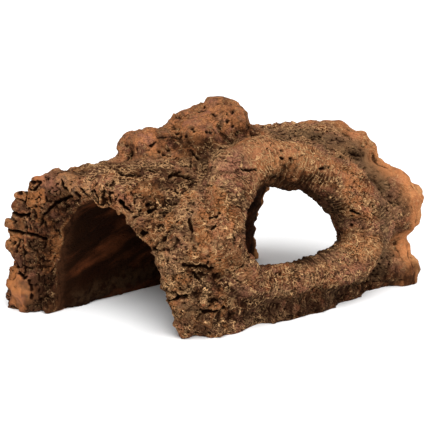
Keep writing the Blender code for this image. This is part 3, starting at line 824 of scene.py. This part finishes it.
def fed(slot, value):
    """Gives a socket a link or a value."""
    if isinstance(value, bpy.types.NodeSocket):
        link(value, slot)
    else:
        slot.default_value = (*value, 1) if isinstance(value, tuple) and slot.type == "RGBA" else value


def attribute(title):
    """A number that the vertices carry."""
    node = tree.nodes.new("ShaderNodeAttribute")
    node.attribute_name = title
    return node.outputs["Fac"]


def calculate(operation, a, b=0.0):
    """A sum, product or other operation on one or two numbers."""
    node = tree.nodes.new("ShaderNodeMath")
    node.operation = operation
    fed(node.inputs[0], a)
    fed(node.inputs[1], b)
    return node.outputs["Value"]


def times(a, b):
    """The product, which works as "and" for masks."""
    return calculate("MULTIPLY", a, b)


def larger(a, b):
    """The larger number, which works as "or" for masks."""
    return calculate("MAXIMUM", a, b)


def opposite(a):
    """1 where a mask is 0, and 0 where it is 1."""
    return calculate("SUBTRACT", 1.0, a)


def stepped(value, low, high, top=1.0):
    """A smooth step of a value between low and high, from 0 to top."""
    node = tree.nodes.new("ShaderNodeMapRange")
    node.interpolation_type = "SMOOTHSTEP"
    node.inputs["From Min"].default_value = low
    node.inputs["From Max"].default_value = high
    node.inputs["To Max"].default_value = top
    link(value, node.inputs["Value"])
    return node.outputs["Result"]


def layered(under, over, share):
    """One colour over another where share is 1."""
    node = tree.nodes.new("ShaderNodeMix")
    node.data_type = "RGBA"
    fed(node.inputs[6], under)
    fed(node.inputs[7], over)
    fed(node.inputs["Factor"], share)
    return node.outputs[2]


print("material:", bark.name)

# %% [markdown]
# Patterns are sampled on Object coordinates in millimetres. A Mapping node of the Texture kind turns the
# pattern's axes first and then stretches along them, so that a grain can lie at any slant. Thin threads come
# from the distance to the borders of Voronoi cells, whose space is bent by noise to make them crooked.


# %% Pattern helpers
def spread(size_mm, stretch=(1, 1, 1), turn=(0, 0, 0)):
    """Object coordinates in features of about this size, stretched along axes that are turned first."""
    mapping = tree.nodes.new("ShaderNodeMapping")
    mapping.vector_type = "TEXTURE"
    mapping.inputs["Scale"].default_value = [s * size_mm * MM for s in stretch]
    mapping.inputs["Rotation"].default_value = [math.radians(a) for a in turn]
    link(coordinates.outputs["Object"], mapping.inputs["Vector"])
    return mapping.outputs["Vector"]


def noise_at(size_mm, detail=3.0, roughness=0.55, color=False, **space):
    """Noise whose features are about this many millimetres across."""
    node = tree.nodes.new("ShaderNodeTexNoise")
    node.inputs["Scale"].default_value = 1.0
    node.inputs["Detail"].default_value = detail
    node.inputs["Roughness"].default_value = roughness
    link(spread(size_mm, **space), node.inputs["Vector"])
    return node.outputs["Color" if color else "Fac"]


def crackle(size_mm, warp, width_mm, **space):
    """Thin crooked lines round cells of this size, and a wider band round each line for its painted shadow."""
    shift = tree.nodes.new("ShaderNodeVectorMath")
    shift.operation = "MULTIPLY_ADD"
    link(noise_at(0.8 * size_mm, detail=3, color=True), shift.inputs[0])
    shift.inputs[1].default_value = (warp, warp, warp)
    link(spread(size_mm, **space), shift.inputs[2])
    cells = tree.nodes.new("ShaderNodeTexVoronoi")
    cells.feature = "DISTANCE_TO_EDGE"
    cells.inputs["Scale"].default_value = 1.0
    link(shift.outputs["Vector"], cells.inputs["Vector"])
    half = 0.5 * width_mm / size_mm
    line = stepped(cells.outputs["Distance"], 1.8 * half, 0.3 * half)
    return line, stepped(cells.outputs["Distance"], 4.0 * half, 1.8 * half)


# %% [markdown]
# The ground colours are broad drifts. On them come the places where one colour is known: the smooth orange
# foot, the pinkish crown of the rim, the grey plates over the arch, the olive gutter behind the rim. Painted
# light comes in among them: painted shade darkens the pillar, the olive of the gutter is partly painted shade,
# and painted sunlight lies on some crests.

# %% Ground colours
GROUND = (0.170, 0.061, 0.028)
RUST = (0.285, 0.092, 0.036)
OLIVE = (0.130, 0.078, 0.040)
MOSS = (0.170, 0.102, 0.050)
GREY = (0.190, 0.125, 0.082)
PINK = (0.345, 0.140, 0.084)
ORANGE = (0.480, 0.180, 0.060)
FLARE = (0.500, 0.190, 0.070)
FLARE_EDGE = (0.540, 0.250, 0.100)
MURK = (0.045, 0.020, 0.010)
SUNLIT = (0.600, 0.265, 0.105)

ground = layered(GROUND, RUST, stepped(noise_at(18), 0.42, 0.62))
ground = layered(ground, PINK, stepped(attribute("flake_tone"), 0.50, 0.72, 0.65))
ground = layered(ground, OLIVE, stepped(noise_at(24, turn=(40, 0, 70)), 0.50, 0.64, 0.55))
ground = layered(ground, OLIVE, stepped(attribute("flake_tone"), 0.30, 0.20, 0.60))
ground = layered(ground, PINK, stepped(noise_at(11, detail=5, turn=(0, 50, 20)), 0.50, 0.66, 0.45))
ground = layered(ground, MURK, stepped(attribute("block_tone"), 0.50, 0.05, 0.70))
ground = layered(ground, MURK, stepped(attribute("chip_tone"), 0.35, 0.05, 0.45))
ground = layered(ground, MURK, stepped(noise_at(13, detail=4, turn=(30, 60, 0)), 0.54, 0.68, 0.6))
# Painted shade darkens the pillar at the left end.
ground = layered(ground, MURK, times(attribute("pillar"), 0.40))
lit_block = times(stepped(attribute("block_tone"), 0.62, 0.80), stepped(attribute("block_tone"), 0.99, 0.96))
ground = layered(ground, ORANGE, times(lit_block, 0.70))
ground = layered(ground, RUST, stepped(attribute("crown"), 0.3, 1.0, 0.6))
ground = layered(ground, PINK, times(attribute("pink"), 0.65))
ground = layered(ground, FLARE, times(attribute("burl"), stepped(noise_at(5, detail=5), 0.42, 0.58, 0.70)))
ground = layered(ground, GREY, times(attribute("grey"), 0.55))
ground = layered(ground, FLARE, times(attribute("rim_top"), 0.55))
# Towards the rim the flare turns olive, partly its own colour and partly painted shade in the gutter.
flare_colour = layered(FLARE, OLIVE, stepped(attribute("far_distance"), 13, 25, 0.90))
flare_colour = layered(flare_colour, FLARE_EDGE, stepped(attribute("far_distance"), 9, 1, 0.8))
flare_colour = layered(flare_colour, RUST, stepped(noise_at(9, detail=4, stretch=(1, 1, 2)), 0.50, 0.68, 0.7))
ground = layered(ground, flare_colour, times(attribute("flare"), 0.9))
ground = layered(ground, ORANGE, times(attribute("orange"), stepped(noise_at(7, detail=4), 0.30, 0.60, 0.85)))
# Painted sunlight on crests and edges.
ground = layered(ground, SUNLIT, times(attribute("sunlit"), stepped(noise_at(4, detail=5), 0.38, 0.60, 0.65)))
moss_spots = stepped(noise_at(6, detail=4, turn=(9, 9, 9)), 0.34, 0.60, 0.75)
ground = layered(ground, MOSS, times(attribute("mossy"), moss_spots))
# Olive over the gutter and the rim's flank, partly painted shade.
ground = layered(ground, OLIVE, times(attribute("olive_and_shade"), 0.75))
print("ground colours:", len(tree.nodes), "nodes so far")

# %% [markdown]
# Dry bark has a fine fibre and a net of pale raised threads. They lie along the grain, which slants on the
# walls and runs aslant over the roof, so each gets its own turned pattern. Two sizes of net come and go in
# broad patches, because an even net would look printed.

# %% Fibre and threads
WALL_TURN, ROOF_TURN = (0, 25, 0), (0, 0, -35)

plain = larger(attribute("flare"), times(attribute("calm"), 1.3))
busy = opposite(times(plain, 0.7))
smooth = larger(larger(attribute("olive_and_shade"), attribute("hole_side_shade")), attribute("pillar"))
soft = opposite(times(larger(smooth, times(attribute("burl"), 0.7)), 0.8))
on_wall = opposite(attribute("roof"))
roof_grain = noise_at(0.8, detail=3, roughness=0.7, stretch=(4.0, 1, 1), turn=ROOF_TURN)
wall_grain = noise_at(0.8, detail=3, roughness=0.7, stretch=(3.2, 1, 1), turn=WALL_TURN)
mottle = calculate("ADD", times(roof_grain, attribute("roof")), times(wall_grain, on_wall))
patchy = noise_at(3.0)
wide_patchy = noise_at(6.0, turn=(20, 0, 50))
here = stepped(noise_at(9.0, detail=4), 0.49, 0.60)
there = stepped(noise_at(7.0, detail=4, turn=(0, 0, 60)), 0.49, 0.60)
vein, vein_shadow = crackle(5.0, 1.0, 0.34, stretch=(1.8, 1, 1), turn=WALL_TURN)
thread, thread_shadow = crackle(2.6, 1.0, 0.30, stretch=(2.0, 1, 1), turn=WALL_TURN)
crinkle, crinkle_shadow = crackle(2.2, 0.9, 0.30, stretch=(3.0, 1, 1), turn=ROOF_TURN)
veins, threads = times(vein, times(here, on_wall)), times(thread, times(there, on_wall))
crinkles = times(times(crinkle, attribute("roof")), stepped(wide_patchy, 0.35, 0.50))
exposed = times(stepped(patchy, 0.42, 0.56), busy)
long_veins = times(veins, times(stepped(wide_patchy, 0.42, 0.52), busy))
worn = times(larger(larger(times(threads, exposed), long_veins), times(crinkles, 0.6)), soft)
print("threads:", len(tree.nodes), "nodes so far")

# %% [markdown]
# Between the threads lie dark specks, fine slits and dirt, and each thread gets a painted shadow along both its
# sides. Here and there the fibre is bleached. The rim's growth lines are repeated as a wave of painted
# highlight, because the light alone hardly shows lines so shallow.

# %% Specks, painted shadows, bleached fibre and lines
dusty = stepped(noise_at(13, detail=4, turn=(60, 20, 0)), 0.42, 0.60)
elsewhere = stepped(noise_at(8.0, detail=4, turn=(70, 0, 20)), 0.48, 0.56)
chink, _ = crackle(3.4, 1.2, 0.40, stretch=(1.6, 1, 1), turn=WALL_TURN)
specks_and_shadows = times(stepped(mottle, 0.51, 0.555), calculate("ADD", 0.60, times(dusty, 0.40)))
specks_and_shadows = times(specks_and_shadows, opposite(times(attribute("rim_top"), 0.5)))
specks_and_shadows = larger(specks_and_shadows, times(chink, elsewhere))
# Painted shadows along both sides of the veins, threads and crinkles.
line_shadows = larger(times(vein_shadow, here), times(thread_shadow, there))
line_shadows = larger(times(line_shadows, on_wall), times(crinkle_shadow, attribute("roof")))
specks_and_shadows = larger(specks_and_shadows, times(line_shadows, 0.60))
specks_and_shadows = times(specks_and_shadows, times(busy, calculate("ADD", 0.5, times(soft, 0.5))))
bleached = times(stepped(mottle, 0.45, 0.39), calculate("ADD", 0.15, times(dusty, 0.85)))
bleached = times(bleached, times(busy, soft))
wave = calculate("SINE", times(attribute("line_phase"), math.tau / LINE_PITCH))
wave = times(stepped(wave, 0.0, 0.9), times(attribute("rim_lines"), 0.8))
print("specks and lines:", len(tree.nodes), "nodes so far")

# %% [markdown]
# Most layers come in the order in which a log ages, with painted shade laid in among them. The hollows are
# darkened first, partly in the bark's own colour and partly as painted shade, then the edges and threads wear
# pale through it. Painted shade on the rim's inner side and under its lower lip, and the darkening of the
# deepest grooves, come last, over everything.

# %% Dirt, wear and painted shade in layers
# WASH_AND_SHADE: the bark's own near-black, and also the colour of painted shade.
WASH_AND_SHADE = (0.012, 0.0035, 0.0012)
TAN = (0.640, 0.370, 0.170)
BLEACHED = (0.880, 0.500, 0.230)

# Darkening in the hollows: partly the bark's own dark, partly painted shade.
colour = layered(ground, WASH_AND_SHADE, stepped(attribute("hollow"), 0.0, 0.70, 0.92))
colour = layered(colour, TAN, times(bleached, 0.40))
colour = layered(colour, TAN, times(times(attribute("edge"), exposed), 0.60))
# Dark specks, and the painted shadows along the threads.
colour = layered(colour, WASH_AND_SHADE, times(specks_and_shadows, 0.92))
# Painted shade as murk.
colour = layered(colour, MURK, times(attribute("murk_shade"), 0.75))
# Painted shade in the corners listed in SHADES, made uneven by noise.
dim = calculate("ADD", 0.40, stepped(noise_at(2.4, detail=4), 0.35, 0.60, 0.50))
colour = layered(colour, WASH_AND_SHADE, times(attribute("shade"), dim))
colour = layered(colour, BLEACHED, times(worn, 0.92))
# Painted highlight on the crests of the rim's growth lines.
colour = layered(colour, TAN, times(wave, stepped(patchy, 0.40, 0.60)))
# Painted shade on the side of the rim's rope that looks into the hole.
colour = layered(colour, WASH_AND_SHADE, times(attribute("hole_side_shade"), 0.80))
# Darkening in the grooves and drawn marks: partly the bark's own dark, partly painted shade.
colour = layered(colour, WASH_AND_SHADE, stepped(attribute("groove"), 0.05, 0.60, 0.97))
# Painted shade in streaks under the front's lower lip.
under_streaks = stepped(noise_at(5, detail=4, stretch=(1, 1, 3)), 0.38, 0.62)
under_dim = calculate("ADD", 0.45, times(under_streaks, 0.45))
colour = layered(colour, WASH_AND_SHADE, times(attribute("undercut"), under_dim))
print("bark:", len(tree.nodes), "nodes so far")

# %% [markdown]
# The tunnel's wall is bare old wood, almost black, with reddish streaks along the grain. It gets colours of
# its own, and the mask of the outside chooses between the two.

# %% The tunnel's wall
INSIDE = (0.016, 0.0056, 0.0022)
INSIDE_STREAK = (0.110, 0.031, 0.011)
INSIDE_LUMP = (0.034, 0.0165, 0.0075)
STRIP = (0.060, 0.023, 0.010)

long_streaks = stepped(noise_at(12, detail=3, stretch=(4, 1, 1), turn=(0, -22, 0)), 0.46, 0.72)
inside = layered(INSIDE, INSIDE_STREAK, long_streaks)
lump_mottle = stepped(noise_at(4.0, detail=5, roughness=0.65), 0.38, 0.60)
inside = layered(inside, layered(WASH_AND_SHADE, INSIDE_LUMP, lump_mottle), attribute("inner_lump"))
# Painted shade in the hollow over the low lump on the tunnel's back wall.
inside = layered(inside, WASH_AND_SHADE, times(attribute("inner_hollow"), 0.8))
strip = layered(STRIP, WASH_AND_SHADE, stepped(noise_at(3.5, detail=5, stretch=(1, 1, 2.5)), 0.42, 0.64, 0.85))
inside = layered(inside, strip, attribute("inner_strip"))
colour = layered(inside, colour, stepped(attribute("outside"), 0.25, 0.85))
link(colour, shader.inputs["Base Color"])
print("with the tunnel:", len(tree.nodes), "nodes so far")

# %% [markdown]
# Everything down to about a millimetre is in the mesh. The fibre is finer than the mesh's faces, so a Bump
# node gives it its light and shade.

# %% Fine grain
GRAIN_DEPTH = 1.4 * MM

bump = tree.nodes.new("ShaderNodeBump")
bump.inputs["Distance"].default_value = GRAIN_DEPTH
bump.inputs["Strength"].default_value = 1.0
relief = calculate("SUBTRACT", times(veins, 0.5), mottle)
relief = calculate("ADD", relief, times(threads, 0.4))
relief = calculate("ADD", relief, wave)
link(times(relief, calculate("ADD", 0.15, busy)), bump.inputs["Height"])
link(bump.outputs["Normal"], shader.inputs["Normal"])
log.data.materials.append(bark)
print("bark material:", len(tree.nodes), "nodes")

# %% [markdown]
# The finished skin goes on the frame. It rides on the part's only body, and from now on it is shown in place
# of the plain solid.

# %% Put the skin on the frame
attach(log, "root")
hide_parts("hollow_log")
print("on the frame:", log.name)

# %% [markdown]
# A plain pale floor and soft studio light: a wide sun lamp stands for a large lamp box above the log's left
# front, and the white world fills the shadows.

# %% Floor and light
SUN_FROM = Vector((-0.32, -0.65, 1.0))
SUN_STRENGTH, SUN_WIDTH = 3.4, math.radians(45)
WORLD_STRENGTH = 0.60

bpy.ops.object.select_all(action="DESELECT")
bpy.ops.mesh.primitive_plane_add(size=40, location=(0, 0, 0))
floor = bpy.context.object
floor.name = "floor"
paper = bpy.data.materials.new("pale floor")
paper.use_nodes = True
paper_shader = paper.node_tree.nodes["Principled BSDF"]
paper_shader.inputs["Base Color"].default_value = (0.92, 0.92, 0.92, 1)
paper_shader.inputs["Roughness"].default_value = 1.0
paper_shader.inputs["Specular IOR Level"].default_value = 0.0
floor.data.materials.append(paper)

bpy.ops.object.light_add(type="SUN", location=(0, 0, 2))
sun = bpy.context.object
sun.data.energy = SUN_STRENGTH
sun.data.angle = SUN_WIDTH
sun.rotation_euler = (-SUN_FROM).to_track_quat("-Z", "Y").to_euler()
world = bpy.data.worlds.new("studio")
world.use_nodes = True
world.node_tree.nodes["Background"].inputs["Color"].default_value = (1, 1, 1, 1)
world.node_tree.nodes["Background"].inputs["Strength"].default_value = WORLD_STRENGTH
bpy.context.scene.world = world
bpy.context.scene.view_settings.view_transform = "Standard"
print("lamp from", [round(c, 2) for c in SUN_FROM.normalized()])
